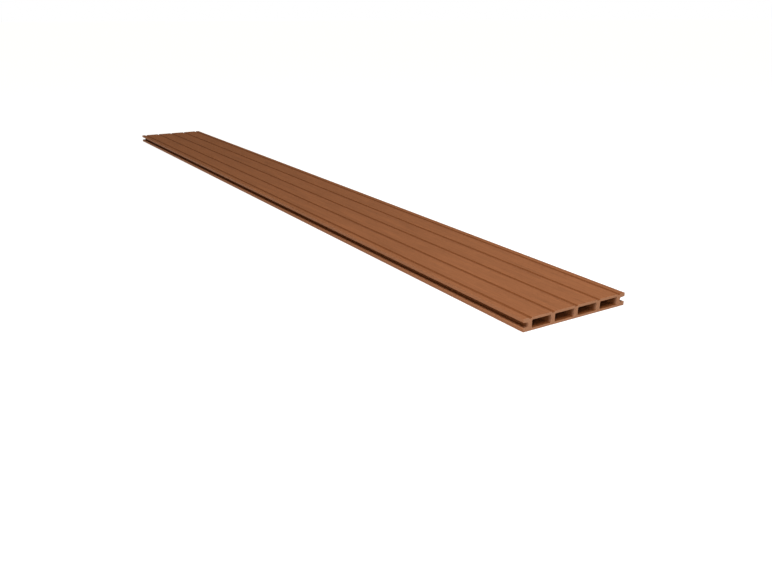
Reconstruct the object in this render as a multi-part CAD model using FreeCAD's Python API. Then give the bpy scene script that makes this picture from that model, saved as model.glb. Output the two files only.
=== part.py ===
# A hollow grooved decking board, extruded in one piece from wood-plastic composite.
# The frame is the board lying as it is laid: X runs along the board, Y across it and
# Z up, with the origin at the middle of the underside. Every size is in millimetres.
import FreeCAD, Part
import math
import os

# Overall size.
board_length = 2200.0
board_width = 225.0
board_thickness = 22.5

# Skins and upright webs that enclose the four through chambers.
top_skin = 4.6
bottom_skin = 4.1
web_thickness = 8.0
side_web_thickness = 7.4
web_pitch = 50.25
chamber_corner_radius = 2.0

# Slot along each long edge, where the hidden clips go. Its lower side is flat, and its
# upper side slopes down inwards to a wide fillet at the root.
slot_depth = 10.5
lower_lip_thickness = 6.8
slot_mouth_height = 9.2
slot_root_height = 8.2
slot_lower_radius = 1.2
slot_upper_radius = 2.2
lip_edge_radius = 0.6

# Shallow groove in the tread over each web.
groove_width = 7.4
groove_floor_width = 4.2
groove_depth = 2.0
groove_floor_radius = 1.0
groove_edge_radius = 0.5

# Rounded long edges of the tread and of the underside.
tread_edge_radius = 0.8
base_edge_radius = 0.8


def point(y, z):
    """A point of the cross-section, drawn on the plane X = 0."""
    return FreeCAD.Vector(0, y, z)


def rounded_wire(corners):
    """A closed wire through corners (y, z, radius), with a tangent arc at each corner that has a radius."""
    edges = []
    starts, ends = [], []
    count = len(corners)
    for index, (y, z, radius) in enumerate(corners):
        corner = point(y, z)
        before = (point(*corners[index - 1][:2]) - corner).normalize()
        after = (point(*corners[(index + 1) % count][:2]) - corner).normalize()
        if radius == 0:
            starts.append(corner)
            ends.append(corner)
            continue
        half_angle = before.getAngle(after) / 2
        setback = radius / math.tan(half_angle)
        arc_start = corner + before * setback
        arc_end = corner + after * setback
        bisector = (before + after).normalize()
        middle = corner + bisector * (radius / math.sin(half_angle) - radius)
        edges.append(Part.Arc(arc_start, middle, arc_end).toShape())
        starts.append(arc_start)
        ends.append(arc_end)
    for index in range(count):
        following = starts[(index + 1) % count]
        edges.append(Part.LineSegment(ends[index], following).toShape())
    return Part.Wire(Part.__sortEdges__(edges))


def web_centres():
    """Y of the middle of each web, from one long edge to the other."""
    side_web = board_width / 2 - slot_depth - side_web_thickness / 2
    return [-side_web, -web_pitch, 0.0, web_pitch, side_web]


def groove_corners(centre):
    """Corners of one tread groove, from +Y to -Y."""
    floor = board_thickness - groove_depth
    return [
        (centre + groove_width / 2, board_thickness, groove_edge_radius),
        (centre + groove_floor_width / 2, floor, groove_floor_radius),
        (centre - groove_floor_width / 2, floor, groove_floor_radius),
        (centre - groove_width / 2, board_thickness, groove_edge_radius),
    ]


def slotted_edge_corners():
    """Corners of the long edge at +Y, from the underside to the tread."""
    edge = board_width / 2
    root = edge - slot_depth
    slot_floor = lower_lip_thickness
    return [
        (edge, 0.0, base_edge_radius),
        (edge, slot_floor, lip_edge_radius),
        (root, slot_floor, slot_lower_radius),
        (root, slot_floor + slot_root_height, slot_upper_radius),
        (edge, slot_floor + slot_mouth_height, lip_edge_radius),
        (edge, board_thickness, tread_edge_radius),
    ]


def outline():
    """The outer line of the cross-section: both slotted edges and the grooved tread."""
    right_edge = slotted_edge_corners()
    left_edge = [(-y, z, radius) for y, z, radius in reversed(right_edge)]
    tread = []
    for centre in reversed(web_centres()):
        tread += groove_corners(centre)
    return rounded_wire(right_edge + tread + left_edge)


def chambers():
    """The four hollow chambers of the cross-section, each between two neighbouring webs."""
    centres = web_centres()
    last = len(centres) - 1
    half_webs = [
        (side_web_thickness if index in (0, last) else web_thickness) / 2
        for index in range(last + 1)
    ]
    low = bottom_skin
    high = board_thickness - top_skin
    wires = []
    for index in range(last):
        left = centres[index] + half_webs[index]
        right = centres[index + 1] - half_webs[index + 1]
        corners = [(left, low), (right, low), (right, high), (left, high)]
        wires.append(rounded_wire([(y, z, chamber_corner_radius) for y, z in corners]))
    return wires


def decking_board():
    """The whole board: its cross-section, extruded along its length."""
    section = Part.Face(outline())
    for chamber in chambers():
        section = section.cut(Part.Face(chamber))
    section.translate(FreeCAD.Vector(-board_length / 2, 0, 0))
    return section.Faces[0].extrude(FreeCAD.Vector(board_length, 0, 0))


board = decking_board()
os.makedirs("parts", exist_ok=True)
board.exportStep("parts/decking_board.step")
print("decking_board", board.ShapeType, "valid", board.isValid())
print("volume %.0f mm3, section %.1f mm2" % (board.Volume, board.Volume / board_length))
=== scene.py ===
# %% [markdown]
# # A composite decking board, dressed for its picture
#
# The board is one length of wood flour and plastic, pushed hot through a steel die and
# sawn to length. Its shape is therefore a cross-section carried along a straight line,
# and most of this lesson is about that line: we draw the section once, let Geometry
# Nodes carry it from end to end, and then give each kind of surface its own finish.
#
# The CAD model gives the place and the size. We load it first and keep its box, which
# gives the board's length, width and thickness.

# %% Load the frame
import math

import bmesh
import bpy
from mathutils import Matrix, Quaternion, Vector


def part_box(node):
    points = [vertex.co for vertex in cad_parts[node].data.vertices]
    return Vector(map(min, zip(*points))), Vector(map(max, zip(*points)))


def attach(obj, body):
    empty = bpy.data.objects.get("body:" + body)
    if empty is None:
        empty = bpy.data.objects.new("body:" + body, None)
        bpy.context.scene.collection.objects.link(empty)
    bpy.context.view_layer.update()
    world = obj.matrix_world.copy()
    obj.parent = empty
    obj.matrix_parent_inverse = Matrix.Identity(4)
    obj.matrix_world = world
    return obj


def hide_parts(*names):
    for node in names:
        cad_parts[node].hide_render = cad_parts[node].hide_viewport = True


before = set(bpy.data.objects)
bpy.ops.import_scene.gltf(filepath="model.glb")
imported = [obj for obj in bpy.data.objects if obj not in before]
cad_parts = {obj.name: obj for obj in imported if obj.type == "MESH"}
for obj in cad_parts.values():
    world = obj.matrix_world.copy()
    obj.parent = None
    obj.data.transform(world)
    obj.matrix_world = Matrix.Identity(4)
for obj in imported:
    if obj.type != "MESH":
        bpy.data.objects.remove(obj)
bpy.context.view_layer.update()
node_name = "decking_board"
body_name = "root"
low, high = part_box(node_name)
board_length = high.x - low.x
board_width = high.y - low.y
board_thickness = high.z - low.z
print("CAD board, metres: %.4f x %.4f x %.4f" % (board_length, board_width, board_thickness))

# %% [markdown]
# ## The sizes of the section
#
# A board maker draws the section in millimetres, so these values are in millimetres and
# `mm` turns them into Blender's metres. They are the die's sizes: two skins, five webs,
# a slot in each long edge for the fixing clips, and a shallow groove over each web.

# %% Section sizes
mm = 0.001

top_skin = 4.6 * mm
bottom_skin = 4.1 * mm
web_thickness = 8.0 * mm
side_web_thickness = 7.4 * mm
web_pitch = 50.25 * mm
chamber_corner_radius = 2.0 * mm

slot_depth = 10.5 * mm
lower_lip_thickness = 6.8 * mm
slot_mouth_height = 9.2 * mm
slot_root_height = 8.2 * mm
slot_lower_radius = 1.2 * mm
slot_upper_radius = 2.2 * mm
lip_edge_radius = 0.6 * mm

groove_width = 7.4 * mm
groove_floor_width = 4.2 * mm
groove_depth = 2.0 * mm
groove_floor_radius = 1.0 * mm
groove_edge_radius = 0.5 * mm

tread_edge_radius = 0.8 * mm
base_edge_radius = 0.8 * mm

side_web_centre = board_width / 2 - slot_depth - side_web_thickness / 2
web_centres = [-side_web_centre, -web_pitch, 0.0, web_pitch, side_web_centre]
print("Webs at, mm:", [round(centre / mm, 2) for centre in web_centres])

# %% [markdown]
# ## Corners with a radius
#
# A die has no sharp corners. We could draw every arc point by point, but a list of
# corners, each as (across, up, radius), says more and is easier to change, and the
# Fillet Curve node can make the arcs. The outer line runs anticlockwise and the chambers
# clockwise, so the material always lies on the left hand of the line. That gives one
# rule for "outwards" on every wall, and we use it later.

# %% Corners of the outer line and of the chambers
def slotted_edge_corners():
    """Corners of one long edge, from the underside up to the tread."""
    edge = board_width / 2
    root = edge - slot_depth
    slot_floor = lower_lip_thickness
    return [
        (edge, 0.0, base_edge_radius),
        (edge, slot_floor, lip_edge_radius),
        (root, slot_floor, slot_lower_radius),
        (root, slot_floor + slot_root_height, slot_upper_radius),
        (edge, slot_floor + slot_mouth_height, lip_edge_radius),
        (edge, board_thickness, tread_edge_radius),
    ]


def groove_corners(centre):
    """Corners of one tread groove, from right to left."""
    floor = board_thickness - groove_depth
    return [
        (centre + groove_width / 2, board_thickness, groove_edge_radius),
        (centre + groove_floor_width / 2, floor, groove_floor_radius),
        (centre - groove_floor_width / 2, floor, groove_floor_radius),
        (centre - groove_width / 2, board_thickness, groove_edge_radius),
    ]


def outer_corners():
    """Corners of the whole outer line."""
    right = slotted_edge_corners()
    left = [(-across, up, radius) for across, up, radius in reversed(right)]
    tread = []
    for centre in reversed(web_centres):
        tread += groove_corners(centre)
    return right + tread + left


def chamber_corners(bay):
    """Corners of the chamber between web number bay and the next web."""
    halves = [side_web_thickness / 2] + [web_thickness / 2] * 3 + [side_web_thickness / 2]
    left = web_centres[bay] + halves[bay]
    right = web_centres[bay + 1] - halves[bay + 1]
    floor, roof = bottom_skin, board_thickness - top_skin
    places = [(left, floor), (left, roof), (right, roof), (right, floor)]
    return [(across, up, chamber_corner_radius) for across, up in places]


loops = [outer_corners()] + [chamber_corners(bay) for bay in range(len(web_centres) - 1)]
corner_counts = [len(corners) for corners in loops]
print("The section has", len(loops), "loops with", corner_counts, "corners")

# %% [markdown]
# ## The section as a curve
#
# A curve object carries the corners into Geometry Nodes. Each point of a curve has a
# radius of its own, meant for its thickness. Nothing here needs a thickness, so that
# number is free to carry the radius of the corner.

# %% Draw the section
def draw_section(name, loops):
    """A curve object with one closed polyline a loop, whose points carry their radius."""
    curve = bpy.data.curves.new(name, "CURVE")
    curve.dimensions = "3D"
    for corners in loops:
        spline = curve.splines.new("POLY")
        spline.points.add(len(corners) - 1)
        for point, (across, up, radius) in zip(spline.points, corners):
            point.co = (across, up, 0.0, 1.0)
            point.radius = radius
        spline.use_cyclic_u = True
    drawn = bpy.data.objects.new(name, curve)
    bpy.context.scene.collection.objects.link(drawn)
    return drawn


section = draw_section("board_section", loops)
print("Drawn:", section.name, "with", len(section.data.splines), "splines")

# %% [markdown]
# ## Node trees written as Python
#
# Node trees are quick to draw by hand and slow to read in a script. Two small classes
# help. `Tree` adds a node of any type in one line, and `Link` wraps an output socket, so
# that `1 - mask * 0.5` adds its own Math nodes. Both work for shaders and for geometry.

# %% Helpers for node trees
class Link:
    """An output socket that takes part in Python arithmetic."""

    def __init__(self, tree, socket):
        self.tree = tree
        self.socket = socket

    def out(self, name):
        """Another output of the same node."""
        return Link(self.tree, self.socket.node.outputs[name])

    def math(self, operation, other=None):
        """A Math node on this value, and on another value where the operation takes two."""
        values = {0: self} if other is None else {0: self, 1: other}
        return self.tree.node("ShaderNodeMath", {"operation": operation}, values)

    def __add__(self, other):
        return self.math("ADD", other)

    __radd__ = __add__

    def __mul__(self, other):
        return self.math("MULTIPLY", other)

    __rmul__ = __mul__

    def __sub__(self, other):
        return self.math("SUBTRACT", other)

    def __rsub__(self, other):
        return self * -1.0 + other

    def __truediv__(self, other):
        return self.math("DIVIDE", other)


class Tree:
    """A node tree that adds a node of any type, with its settings and inputs, in one call."""

    def __init__(self, tree):
        self.tree = tree

    def node(self, kind, settings=None, inputs=None, out=0):
        """Adds a node: its settings first, then what its inputs take, by name or number."""
        made = self.tree.nodes.new(kind)
        for name, value in (settings or {}).items():
            setattr(made, name, value)
        for key, value in (inputs or {}).items():
            if isinstance(value, Link):
                self.tree.links.new(value.socket, made.inputs[key])
            else:
                made.inputs[key].default_value = value
        return Link(self, made.outputs[out])

    def vector(self, operation, first, second):
        """A Vector Math node on two vectors."""
        return self.node(
            "ShaderNodeVectorMath", {"operation": operation}, {0: first, 1: second}
        )

    def scaled(self, vector, factor):
        """A vector or colour times a number."""
        return self.node(
            "ShaderNodeVectorMath", {"operation": "SCALE"}, {0: vector, "Scale": factor}
        )

    def mixed(self, factor, first, second):
        """A colour between two colours, each a value or a link."""
        values = {0: factor}
        for number, colour in {6: first, 7: second}.items():
            values[number] = colour if isinstance(colour, Link) else (*colour, 1.0)
        return self.node("ShaderNodeMix", {"data_type": "RGBA"}, values, out=2)

    def ramp_up(self, value, start, end):
        """0 below start, 1 above end, and a smooth step between them."""
        return self.node(
            "ShaderNodeMapRange",
            {"interpolation_type": "SMOOTHSTEP"},
            {"Value": value, "From Min": start, "From Max": end},
        )


# %% [markdown]
# ## Carrying the section along the board
#
# The next tree does what the factory does. It rounds the corners, cuts long straight
# runs into narrow strips, carries the section along a line, and closes both ends. We
# could extrude the section once, but then each wall would be a single face 2.2 m long,
# with nothing for a brush to press into. So the line gets many rings, and the tread has
# a strip every millimetre or so. The tree's inputs carry names, as a tool's dials do.

# %% Inputs of the tree
group = bpy.data.node_groups.new("Extruded board", "GeometryNodeTree")
input_kinds = {
    "Section": "Geometry",
    "Length": "Float",
    "Arc Steps": "Int",
    "Fine Strip": "Float",
    "Coarse Strip": "Float",
    "Groove Bottom": "Float",
    "Crown": "Float",
    "Rings": "Int",
    "Saw Chamfer": "Float",
    "Brush Depth": "Float",
    "Seed": "Float",
    "Brushed Finish": "Material",
    "Die Finish": "Material",
    "Sawn Finish": "Material",
}
identifiers = {}
for name, kind in input_kinds.items():
    made = group.interface.new_socket(
        name=name, in_out="INPUT", socket_type="NodeSocket" + kind
    )
    identifiers[name] = made.identifier
group.interface.new_socket(name="Board", in_out="OUTPUT", socket_type="NodeSocketGeometry")

gn = Tree(group)
given = gn.node("NodeGroupInput")
print("The tree takes:", ", ".join(identifiers))

# %% [markdown]
# ### Round the corners, cut the runs
#
# Fillet Curve reads each point's radius. Subdivide Curve then cuts each run, from one
# point to the next, by a number that depends on its length: fine strips on the tread,
# where the brush and the grooves are, and coarse ones elsewhere.

# %% Rounded and cut section line
section_line = gn.node(
    "GeometryNodeFilletCurve",
    {"mode": "POLY"},
    {
        "Curve": given.out("Section"),
        "Count": given.out("Arc Steps"),
        "Radius": gn.node("GeometryNodeInputRadius"),
        "Limit Radius": True,
    },
)
here = gn.node("GeometryNodeInputPosition")
next_point = gn.node("GeometryNodeOffsetPointInCurve", None, {"Offset": 1}, out="Point Index")
there = gn.node(
    "GeometryNodeFieldAtIndex",
    {"data_type": "FLOAT_VECTOR", "domain": "POINT"},
    {"Index": next_point, "Value": here},
)
run = gn.vector("DISTANCE", here, there).out("Value")
place = gn.node("ShaderNodeSeparateXYZ", None, {0: here})
on_top = place.out("Y").math("GREATER_THAN", given.out("Groove Bottom"))
strip = on_top * given.out("Fine Strip") + (1 - on_top) * given.out("Coarse Strip")
section_line = gn.node(
    "GeometryNodeSubdivideCurve", None, {"Curve": section_line, "Cuts": run / strip}
)
print("Nodes so far:", len(group.nodes))

# %% [markdown]
# ### Remember which way is out, then extrude
#
# The line's tangent crossed with the direction of the board points out of the material,
# on the outer walls and in the chambers alike. We store it on the points, because it
# travels with them when the section becomes walls. The rings of the wall are the points
# of a straight line, which stops short of each end by the width of the saw's chamfer.

# %% Walls from end to end
up_the_die = Vector((0.0, 0.0, 1.0))
outward = gn.vector("CROSS_PRODUCT", gn.node("GeometryNodeInputTangent"), up_the_die)
section_line = gn.node(
    "GeometryNodeStoreNamedAttribute",
    {"data_type": "FLOAT_VECTOR", "domain": "POINT"},
    {"Geometry": section_line, "Name": "outward", "Value": outward},
)
section_line = gn.node(
    "GeometryNodeSetCurveRadius", None, {"Curve": section_line, "Radius": 1.0}
)
half_run = given.out("Length") * 0.5 - given.out("Saw Chamfer")
line = gn.node(
    "GeometryNodeCurvePrimitiveLine",
    None,
    {
        "Start": gn.node("ShaderNodeCombineXYZ", None, {"Z": half_run * -1.0}),
        "End": gn.node("ShaderNodeCombineXYZ", None, {"Z": half_run}),
    },
)
line = gn.node(
    "GeometryNodeResampleCurve", None, {"Curve": line, "Count": given.out("Rings")}
)
walls = gn.node(
    "GeometryNodeCurveToMesh", None, {"Curve": line, "Profile Curve": section_line}
)
print("Nodes so far:", len(group.nodes))

# %% [markdown]
# ### Relief of the brushed tread
#
# A tread is brushed along its length after it leaves the die. The bristles leave shallow
# streaks, a few millimetres wide and a hand long, and they never reach into a groove.
# Noise stretched along the board gives them, and each point of the crown sinks along its
# own outward direction, never out of the board.

# %% Brush the crown
streak_width = 3.0 * mm
streak_length = 140.0 * mm
facing = gn.node(
    "GeometryNodeInputNamedAttribute", {"data_type": "FLOAT_VECTOR"}, {"Name": "outward"}
)
stretched = gn.node(
    "ShaderNodeCombineXYZ",
    None,
    {"X": place.out("X") / streak_width, "Z": place.out("Z") / streak_length},
)
streaks = gn.node(
    "ShaderNodeTexNoise",
    {"noise_dimensions": "4D"},
    {"Vector": stretched, "W": given.out("Seed"), "Scale": 1.0, "Detail": 2.0},
)
on_crown = place.out("Y").math("GREATER_THAN", given.out("Crown"))
sink = streaks * on_crown * given.out("Brush Depth") * -1.0
walls = gn.node(
    "GeometryNodeSetPosition",
    None,
    {"Geometry": walls, "Offset": gn.scaled(facing, sink)},
)
print("Nodes so far:", len(group.nodes))

# %% [markdown]
# ### Sawn ends
#
# A saw leaves a crisp edge with its very corner broken. Each open end is extruded by the
# width of that chamfer and pulled in by as much. The open edges that remain become
# curves again, and Fill Curve closes them, leaving the chambers open. We could fill the
# first curve instead, but its points would not meet those of the brushed wall.

# %% Break the sawn edges and close the ends
neighbours = gn.node("GeometryNodeInputMeshEdgeNeighbors")
open_edge = gn.node(
    "FunctionNodeCompare", {"data_type": "INT", "operation": "EQUAL"}, {2: neighbours, 3: 1}
)
walls = gn.node(
    "GeometryNodeExtrudeMesh",
    {"mode": "EDGES"},
    {"Mesh": walls, "Selection": open_edge, "Offset Scale": 0.0},
)
end_side = gn.node("ShaderNodeCombineXYZ", None, {"Z": place.out("Z").math("SIGN")})
chamfer_move = gn.scaled(gn.vector("SUBTRACT", end_side, facing), given.out("Saw Chamfer"))
walls = gn.node(
    "GeometryNodeSetPosition",
    None,
    {"Geometry": walls, "Selection": walls.out("Top"), "Offset": chamfer_move},
)


def end_cap(side):
    """The flat sawn face at one end: side is 1 or -1 along the board."""
    at_end = (place.out("Z") * side).math("GREATER_THAN", 0.0)
    rim = gn.node(
        "GeometryNodeMeshToCurve", None, {"Mesh": walls, "Selection": open_edge * at_end}
    )
    cap = gn.node("GeometryNodeFillCurve", {"mode": "TRIANGLES"}, {"Curve": rim})
    lift = gn.node("ShaderNodeCombineXYZ", None, {"Z": given.out("Length") * (side * 0.5)})
    cap = gn.node("GeometryNodeSetPosition", None, {"Geometry": cap, "Offset": lift})
    if side < 0:
        cap = gn.node("GeometryNodeFlipFaces", None, {"Mesh": cap})
    return cap


merge_distance = 0.002 * mm
board = gn.node("GeometryNodeJoinGeometry")
for piece in (walls, end_cap(1), end_cap(-1)):
    group.links.new(piece.socket, board.socket.node.inputs[0])
board = gn.node(
    "GeometryNodeMergeByDistance", None, {"Geometry": board, "Distance": merge_distance}
)
print("Nodes so far:", len(group.nodes))

# %% [markdown]
# ### Smooth arcs, crisp saw cuts
#
# All faces are shaded smooth, so that five straight steps read as a round corner. Edges
# that turn by more than 30 degrees, such as those of the saw, stay sharp.

# %% Shade the board
crisp_angle = math.radians(30.0)
board = gn.node("GeometryNodeSetShadeSmooth", {"domain": "FACE"}, {"Geometry": board})
crisp = gn.node("GeometryNodeInputMeshEdgeAngle").math("GREATER_THAN", crisp_angle)
board = gn.node(
    "GeometryNodeSetShadeSmooth",
    {"domain": "EDGE"},
    {"Geometry": board, "Selection": crisp, "Shade Smooth": False},
)
print("Edges stay crisp above", round(math.degrees(crisp_angle)), "degrees")

# %% [markdown]
# ### Lay the board down and hand out the finishes
#
# The section was drawn flat, with the board standing on end above it. Swapping the axes
# lays it down: what ran up along Z now runs along X. Every face first gets the plain
# finish that the die leaves. The tread and the underside are then brushed, and the faces
# that look along the board are sawn.

# %% Lay it down, then set the materials
laid = gn.node(
    "ShaderNodeCombineXYZ",
    None,
    {"X": place.out("Z"), "Y": place.out("X"), "Z": place.out("Y")},
)
board = gn.node("GeometryNodeSetPosition", None, {"Geometry": board, "Position": laid})
board = gn.node("GeometryNodeRemoveAttribute", None, {"Geometry": board, "Name": "outward"})
board = gn.node("GeometryNodeRealizeInstances", None, {"Geometry": board})

facing_limit = 0.5
normal = gn.node("ShaderNodeSeparateXYZ", None, {0: gn.node("GeometryNodeInputNormal")})
faces_up = normal.out("Z").math("GREATER_THAN", facing_limit)
faces_down = normal.out("Z").math("LESS_THAN", -facing_limit)
top_side = place.out("Z").math("GREATER_THAN", given.out("Groove Bottom"))
under_side = place.out("Z").math("LESS_THAN", base_edge_radius)
brushed = faces_up * top_side + faces_down * under_side
sawn = normal.out("X").math("ABSOLUTE").math("GREATER_THAN", facing_limit)
finish_places = {"Die Finish": True, "Brushed Finish": brushed, "Sawn Finish": sawn}
for finish, chosen in finish_places.items():
    board = gn.node(
        "GeometryNodeSetMaterial",
        None,
        {"Geometry": board, "Selection": chosen, "Material": given.out(finish)},
    )
result = group.nodes.new("NodeGroupOutput")
group.links.new(board.socket, result.inputs["Board"])
print("The whole tree has", len(group.nodes), "nodes")

# %% [markdown]
# ## Three finishes of one material
#
# The board is one recipe of wood flour, plastic and brown pigment, but it shows three
# faces. The die leaves it close and smooth, with fine lines along the board. The brush
# opens the tread a little and streaks it. The saw cuts through flour and plastic alike,
# so the ends are paler, rougher and speckled. A photographed texture could show this,
# but it would smear on 2.2 m of board. We work the pattern out from the place on the
# board, in Object coordinates, so its grain has real sizes and shows no seam.

# %% Colours of the composite
brushed_brown = (0.252, 0.095, 0.039)
# Darker brown of the grooves: painted shade of the recess.
painted_groove_shade_brown = (0.168, 0.055, 0.018)
die_brown = (0.256, 0.103, 0.046)
# Darker brown inside the slots and chambers: painted shade of the hollows.
painted_shade_inner_brown = (0.15, 0.047, 0.014)
sawn_brown = (0.28, 0.13, 0.068)
browns = (brushed_brown, painted_groove_shade_brown, die_brown, painted_shade_inner_brown, sawn_brown)
print("Red of the browns, from tread to saw cut:", [brown[0] for brown in browns])

# %% [markdown]
# Every pattern below is noise with a length along the board and a width across it. A
# noise texture gives values around one half, so we take that half away: the tone of a
# finish is then 1 plus a few patterns, each times the share that it may change.

# %% Helpers for the finishes
class Finish(Tree):
    """A material of the board, with its shader and the place on the board in metres."""

    def __init__(self, name, gloss):
        self.material = bpy.data.materials.new(name)
        self.material.use_nodes = True
        super().__init__(self.material.node_tree)
        self.shader = self.tree.nodes["Principled BSDF"]
        self.shader.inputs["Specular IOR Level"].default_value = gloss
        spot = self.node("ShaderNodeTexCoord", out="Object")
        self.place = self.node("ShaderNodeSeparateXYZ", None, {0: spot})

    def grain(self, length, width, seed, detail=2.0):
        """Noise around 0, drawn out along the board to about this length and width."""
        spot = self.node(
            "ShaderNodeCombineXYZ",
            None,
            {
                "X": self.place.out("X") / length,
                "Y": self.place.out("Y") / width,
                "Z": self.place.out("Z") / width,
            },
        )
        noise = self.node(
            "ShaderNodeTexNoise",
            {"noise_dimensions": "4D"},
            {"Vector": spot, "W": seed, "Scale": 1.0, "Detail": detail},
        )
        return noise - 0.5

    def feed(self, colour, roughness, height, depth):
        """Joins colour, roughness and relief to the shader; depth goes with a height of 1."""
        normal = self.node(
            "ShaderNodeBump", None, {"Strength": 1.0, "Distance": depth, "Height": height}
        )
        links = {"Base Color": colour, "Roughness": roughness, "Normal": normal}
        for name, link in links.items():
            self.tree.links.new(link.socket, self.shader.inputs[name])
        print(self.material.name, "has", len(self.tree.nodes), "nodes")
        return self.material


# %% [markdown]
# ### The brushed tread
#
# Five patterns make it: a slow drift of tone from the cooling of the board, wide sweeps
# of the brush, its streaks, the marks of single bristles, and slivers of wood flour that
# show pale or dark. The grooves lie below the brush. They keep the denser skin of the
# die with its fine lines, which is a little glossier. Their brown is darker: painted
# shade of the recess, which draws the lines on the tread. One smooth step on height
# finds them.

# %% Brushed finish
def brushed_finish():
    """The tread between its grooves, the grooves themselves, and the underside."""
    finish = Finish("brushed_composite", gloss=0.04)
    drift = finish.grain(length=900 * mm, width=160 * mm, seed=1.0)
    sweep = finish.grain(length=110 * mm, width=7 * mm, seed=14.0)
    streak = finish.grain(length=180 * mm, width=2.4 * mm, seed=2.0)
    bristle = finish.grain(length=45 * mm, width=0.7 * mm, seed=3.0)
    sliver = finish.grain(length=9 * mm, width=1.1 * mm, seed=4.0, detail=1.0)
    die_line = finish.grain(length=2600 * mm, width=0.7 * mm, seed=13.0, detail=3.0)
    pale_sliver = finish.ramp_up(sliver, start=0.15, end=0.2)
    dark_sliver = finish.ramp_up(sliver * -1.0, start=0.16, end=0.21)

    below_tread = board_thickness - finish.place.out("Z")
    upper_half = finish.place.out("Z").math("GREATER_THAN", board_thickness / 2)
    groove = finish.ramp_up(below_tread, start=0.05 * mm, end=0.5 * mm) * upper_half
    open_tread = 1.0 - groove
    # The groove's darker brown is painted shade of the recess.
    brown = finish.mixed(groove, brushed_brown, painted_groove_shade_brown)

    brush_tone = sweep * 0.44 + streak * 0.46 + bristle * 0.34
    flecks = pale_sliver * 0.17 - dark_sliver * 0.24
    tone = drift * 0.16 + (brush_tone + flecks) * open_tread + die_line * groove * 0.35 + 1.0
    roughness = streak * 0.25 + 0.62 - groove * 0.12
    brush_height = streak + bristle * 0.6 + pale_sliver * 0.15
    height = brush_height * open_tread + die_line * groove
    return finish.feed(finish.scaled(brown, tone), roughness, height, depth=0.12 * mm)


brushed_composite = brushed_finish()

# %% [markdown]
# ### The skin that the die leaves
#
# The lips, slots and chambers are untouched since the die. A scratch or a crumb in the
# steel draws a line that runs the whole length of the board, so the line pattern hardly
# changes along X. The board is pulled in tiny steps, which leave faint bands across it.
# Inside the slots and chambers the brown is darker: painted shade of the hollows.
# The distance from the nearer long edge tells inside from outside. Near each open end
# the inner faces, save the chamber floors, turn paler over a few millimetres: painted
# light that falls into every opening.

# %% Die finish
def die_finish():
    """The side faces, slots and chambers."""
    finish = Finish("die_composite", gloss=0.04)
    drift = finish.grain(length=700 * mm, width=60 * mm, seed=5.0)
    die_line = finish.grain(length=2600 * mm, width=0.9 * mm, seed=6.0, detail=3.0)
    pull_band = finish.grain(length=7 * mm, width=90 * mm, seed=7.0, detail=1.0)
    crumb_line = finish.grain(length=1200 * mm, width=0.5 * mm, seed=12.0, detail=1.0)
    scratch = finish.ramp_up(crumb_line, start=0.12, end=0.18)
    tone = drift * 0.14 + die_line * 0.3 + pull_band * 0.08 - scratch * 0.12 + 1.0

    from_edge = board_width / 2 - finish.place.out("Y").math("ABSOLUTE")
    from_end = board_length / 2 - finish.place.out("X").math("ABSOLUTE")
    inside = finish.ramp_up(from_edge, start=1.0 * mm, end=6.0 * mm)
    # Inside the slots and chambers the brown darkens: painted shade.
    brown = finish.mixed(inside, die_brown, painted_shade_inner_brown)
    wall_foot = bottom_skin + 2.0 * mm
    upright = finish.ramp_up(finish.place.out("Z"), start=bottom_skin, end=wall_foot)
    # Paler brown near each open end, above the chamber floor: painted light falling into the
    # opening.
    painted_rim_light = (1.0 - finish.ramp_up(from_end, start=0.0, end=9.0 * mm)) * upright
    brown = finish.mixed(painted_rim_light * inside, brown, sawn_brown)

    roughness = die_line * 0.2 + 0.5
    height = die_line + pull_band * 0.3 - scratch * 0.3
    return finish.feed(finish.scaled(brown, tone), roughness, height, depth=0.1 * mm)


die_composite = die_finish()

# %% [markdown]
# ### The sawn ends
#
# A circular blade sweeps arcs over the cut. Its axis stands off to one side and below,
# so the distance to that axis, divided by the feed of one tooth, counts the arcs, and a
# sine turns the count into strokes. Slow noise lets the strokes come and go. Chips of
# wood flour are cells of a Voronoi texture, each with a tone of its own, and where the
# saw has torn a chip out, a small pit is left, darkened with painted shade.

# %% Sawn finish
def sawn_finish():
    """The two ends and their broken edges."""
    finish = Finish("sawn_composite", gloss=0.05)
    blade_across, blade_below = 40 * mm, 120 * mm
    tooth_feed = 1.7 * mm
    across = finish.place.out("Y") - blade_across
    up = finish.place.out("Z") + blade_below
    radius = (across * across + up * up).math("SQRT")
    waver = finish.grain(length=30 * mm, width=12 * mm, seed=8.0)
    patch = finish.grain(length=50 * mm, width=9 * mm, seed=9.0)
    stroke = ((radius / tooth_feed + waver) * math.tau).math("SINE")
    stroke = stroke * finish.ramp_up(patch, start=-0.15, end=0.2)

    chip_size = 1.1 * mm
    cell = finish.node(
        "ShaderNodeTexVoronoi",
        None,
        {
            "Vector": finish.node("ShaderNodeTexCoord", out="Object"),
            "Scale": 1.0 / chip_size,
        },
        out="Color",
    )
    chip = finish.node("ShaderNodeSeparateColor", None, {0: cell}) - 0.5
    torn_spot = finish.grain(length=2 * mm, width=1.3 * mm, seed=10.0, detail=1.0)
    # The pit sinks into the relief, and its darker tone is painted shade of the hollow.
    pit = finish.ramp_up(torn_spot, start=0.17, end=0.22)
    cloud = finish.grain(length=20 * mm, width=7 * mm, seed=11.0)

    tone = cloud * 0.2 + chip * 0.16 + stroke * 0.035 - pit * 0.3 + 1.0
    roughness = chip * 0.1 + 0.8
    height = stroke * 0.35 + chip * 0.3 - pit
    return finish.feed(finish.scaled(sawn_brown, tone), roughness, height, depth=0.12 * mm)


sawn_composite = sawn_finish()

# %% [markdown]
# ## Run the tree
#
# The modifier's inputs are set by their identifiers before the object is first looked
# at. `new_from_object` then keeps the result as a plain mesh, and the drawn section has
# done its work.

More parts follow.
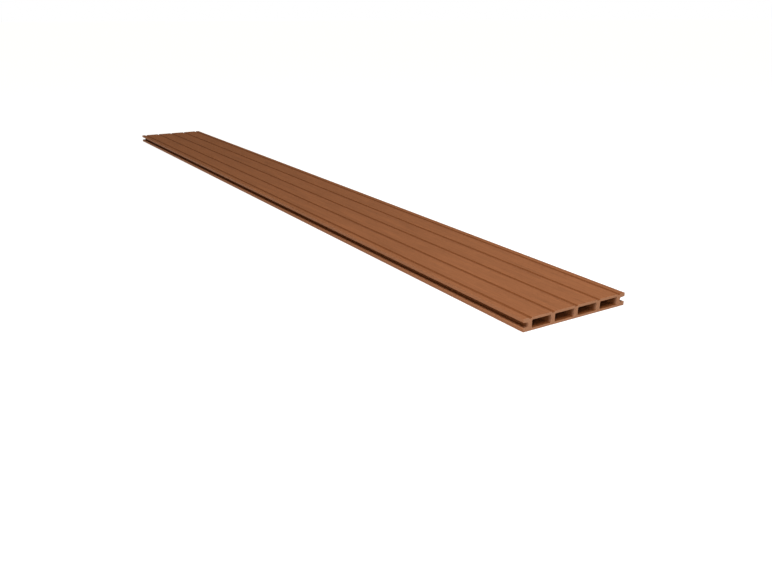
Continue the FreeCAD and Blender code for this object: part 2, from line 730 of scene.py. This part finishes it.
# %% Make the board
dials = {
    "Length": board_length,
    "Arc Steps": 5,
    "Fine Strip": 1.3 * mm,
    "Coarse Strip": 8.0 * mm,
    "Groove Bottom": board_thickness - groove_depth * 1.1,
    "Crown": board_thickness - 0.05 * mm,
    "Rings": 160,
    "Saw Chamfer": 0.25 * mm,
    "Brush Depth": 0.08 * mm,
    "Seed": 3.0,
    "Brushed Finish": brushed_composite,
    "Die Finish": die_composite,
    "Sawn Finish": sawn_composite,
}
modifier = section.modifiers.new("Extruded board", "NODES")
modifier.node_group = group
for name, value in dials.items():
    modifier[identifiers[name]] = value

graph = bpy.context.evaluated_depsgraph_get()
skin_mesh = bpy.data.meshes.new_from_object(section.evaluated_get(graph), depsgraph=graph)
skin_mesh.name = "board_skin"
board_skin = bpy.data.objects.new("board_skin", skin_mesh)
bpy.context.scene.collection.objects.link(board_skin)
section.modifiers.remove(modifier)
bpy.data.objects.remove(section)
print("Made:", board_skin.name, "with", len(skin_mesh.vertices), "points")

# %% [markdown]
# ### Is it closed and the right way round?
#
# A board is solid, so its skin must have no open edge, and its faces must look outwards.
# Two numbers tell both: a count of the open edges, and the enclosed volume, which comes
# out with a plus sign.

# %% Measure the mesh
measured = bmesh.new()
measured.from_mesh(skin_mesh)
litres = measured.calc_volume(signed=True) * 1000
open_edges = sum(not edge.is_manifold for edge in measured.edges)
triangles = sum(len(face.verts) - 2 for face in measured.faces)
measured.free()
print("Triangles: %d, litres: %.3f, open edges: %d" % (triangles, litres, open_edges))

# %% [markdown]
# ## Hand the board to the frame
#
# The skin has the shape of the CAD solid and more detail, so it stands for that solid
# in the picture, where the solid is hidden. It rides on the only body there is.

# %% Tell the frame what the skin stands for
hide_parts(node_name)
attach(board_skin, body_name)
print(board_skin.name, "stands for", node_name, "and rides on", body_name)

# %% [markdown]
# ## A white studio
#
# A pale floor that glows stays white far behind the board, where the lamps no longer
# reach, and leaves hardly any shadow. It also lights the sawn end and the lips from
# below, which leaves the chambers and slots dark, because their floors face away from it.
#
# The floor lies half a millimetre below the board, because two faces in one place would
# flicker. A glowing face is sampled as two triangles, so we push the floor to one side
# until their shared edge no longer runs under the board.

# %% Floor
floor_reach = 60.0
floor_drop = 0.5 * mm
floor_shift = 20.0
floor_points = [
    (x * floor_reach, y * floor_reach + floor_shift, -floor_drop)
    for x, y in ((-1, -1), (1, -1), (1, 1), (-1, 1))
]
floor_mesh = bpy.data.meshes.new("floor")
floor_mesh.from_pydata(floor_points, [], [(0, 1, 2, 3)])
floor = bpy.data.objects.new("floor", floor_mesh)
bpy.context.scene.collection.objects.link(floor)
print("Floor:", 2 * floor_reach, "m square")

# %% [markdown]
# ### The glow of the floor
#
# The camera sees a white glow, while the light that the board gets from it is weaker and
# warmer, so that the lips grow darker along the board as the tread does. Light Path
# tells the two apart. Seen from below the floor is clear, so that the underside of the
# board can be looked at too.

# %% Glow of the floor
floor_grey = 0.4
floor_glow = 0.8
white = (1.0, 1.0, 1.0)
warm_glow = (0.78, 0.74, 0.68)
pale_floor = bpy.data.materials.new("pale_floor")
pale_floor.use_nodes = True
floor_shader = pale_floor.node_tree.nodes["Principled BSDF"]
floor_shader.inputs["Base Color"].default_value = (floor_grey, floor_grey, floor_grey, 1.0)
floor_shader.inputs["Roughness"].default_value = 0.9
floor_shader.inputs["Specular IOR Level"].default_value = 0.1
floor_shader.inputs["Emission Strength"].default_value = floor_glow

floor_tree = Tree(pale_floor.node_tree)
seen = floor_tree.node("ShaderNodeLightPath", out="Is Camera Ray")
glow_colour = floor_tree.mixed(seen, warm_glow, white)
pale_floor.node_tree.links.new(glow_colour.socket, floor_shader.inputs["Emission Color"])
from_below = floor_tree.node("ShaderNodeNewGeometry", out="Backfacing")
shown = floor_tree.node(
    "ShaderNodeMixShader",
    None,
    {
        0: from_below,
        1: Link(floor_tree, floor_shader.outputs[0]),
        2: floor_tree.node("ShaderNodeBsdfTransparent"),
    },
)
surface = pale_floor.node_tree.nodes["Material Output"].inputs["Surface"]
pale_floor.node_tree.links.new(shown.socket, surface)
floor_mesh.materials.append(pale_floor)
print("Material of the floor:", pale_floor.name, "with a glow of", floor_glow)

# %% [markdown]
# ## Light
#
# A lamp and a camera both look along their own -Z axis. So one helper turns either, and
# another hangs a lamp of any kind where the camera can't see it.

# %% Helpers for lamps
def turned(direction):
    """The rotation that points a lamp or a camera along a direction."""
    return Vector(direction).to_track_quat("-Z", "Y")


def hang_lamp(name, kind, place, direction, power, tint):
    """A lamp of a kind at a place, facing a direction, and itself out of the picture."""
    lamp = bpy.data.lights.new(name, kind)
    lamp.energy = power
    lamp.color = tint
    holder = bpy.data.objects.new(name, lamp)
    holder.location = place
    holder.rotation_mode = "QUATERNION"
    holder.rotation_quaternion = turned(direction)
    holder.visible_camera = False
    bpy.context.scene.collection.objects.link(holder)
    return lamp


# %% [markdown]
# ### Three lamps
#
# The key is a soft square lamp high above the near end. It is close, so its light falls
# off towards the far end. A smaller lamp stands low at the camera's side and models the
# lip, and a large overhead light, as from a ceiling of cloth, fills the tread from end to
# end. Powers are in watts, and that of the overhead light in watts a square metre.

# %% Lamps
daylight = (1.0, 1.05, 1.16)
warm_cloth = (1.0, 0.94, 0.8)
lit_spot = Vector((0.9, 0.0, 0.0))

key_place = Vector((1.9, -0.7, 1.9))
key_power = 38.1
key = hang_lamp("key_lamp", "AREA", key_place, lit_spot - key_place, key_power, daylight)
key.size = 1.0

side_place = Vector((2.2, -1.3, 0.6))
side_power = 13.6
side = hang_lamp("side_lamp", "AREA", side_place, lit_spot - side_place, side_power, daylight)
side.size = 0.6

cloth_place = Vector((0.0, 0.0, 3.0))
downwards = Vector((-0.1, 0.1, -1.0))
cloth_strength = 1.01
overhead = hang_lamp(
    "overhead_cloth", "SUN", cloth_place, downwards, cloth_strength, warm_cloth
)
overhead.angle = math.radians(60.0)
print("Lamps:", [lamp.name for lamp in (key, side, overhead)])

# %% [markdown]
# ### Light from everywhere
#
# In a room the walls throw some light back. A lit world does the same: it adds a little
# warm light from all round, but shows the camera a white backdrop, brighter than the
# light that it gives.

# %% World
fill_strength = 0.26
warm_fill = (1.0, 0.93, 0.78)
backdrop_strength = 1.0
world = bpy.data.worlds.new("studio")
bpy.context.scene.world = world
world.use_nodes = True
sky = Tree(world.node_tree)
seen = sky.node("ShaderNodeLightPath", out="Is Camera Ray")
strength = seen * (backdrop_strength - fill_strength) + fill_strength
colour = sky.mixed(seen, warm_fill, white)
background = world.node_tree.nodes["Background"]
for name, link in {"Color": colour, "Strength": strength}.items():
    world.node_tree.links.new(link.socket, background.inputs[name])
print("World:", world.name, "with a fill of", fill_strength)

# %% [markdown]
# ## Camera
#
# The place, the heading and the lens were fitted to the straight lines of the board in
# the photograph: its far edge, its grooves and its corners. The heading is counted
# anticlockwise from +X, and the dip is the angle below the horizon.

# %% Camera
camera_place = Vector((1.893213, -0.853805, 0.461713))
camera_heading = math.radians(148.2007)
camera_dip = math.radians(20.1440)
camera_roll = math.radians(0.0265)
roll_axis = Vector((0.0, 0.0, 1.0))
picture_width = 772
focal_pixels = 748.134
sensor_width = 36.0

camera_data = bpy.data.cameras.new("camera")
camera_data.sensor_width = sensor_width
camera_data.lens = sensor_width * focal_pixels / picture_width
camera_data.clip_end = 200.0
camera = bpy.data.objects.new("camera", camera_data)
bpy.context.scene.collection.objects.link(camera)
forward = (
    math.cos(camera_heading) * math.cos(camera_dip),
    math.sin(camera_heading) * math.cos(camera_dip),
    -math.sin(camera_dip),
)
camera.location = camera_place
camera.rotation_mode = "QUATERNION"
camera.rotation_quaternion = turned(forward) @ Quaternion(roll_axis, camera_roll)
bpy.context.scene.camera = camera
bpy.context.scene.view_settings.view_transform = "Standard"
print("Lens: %.2f mm" % camera_data.lens)
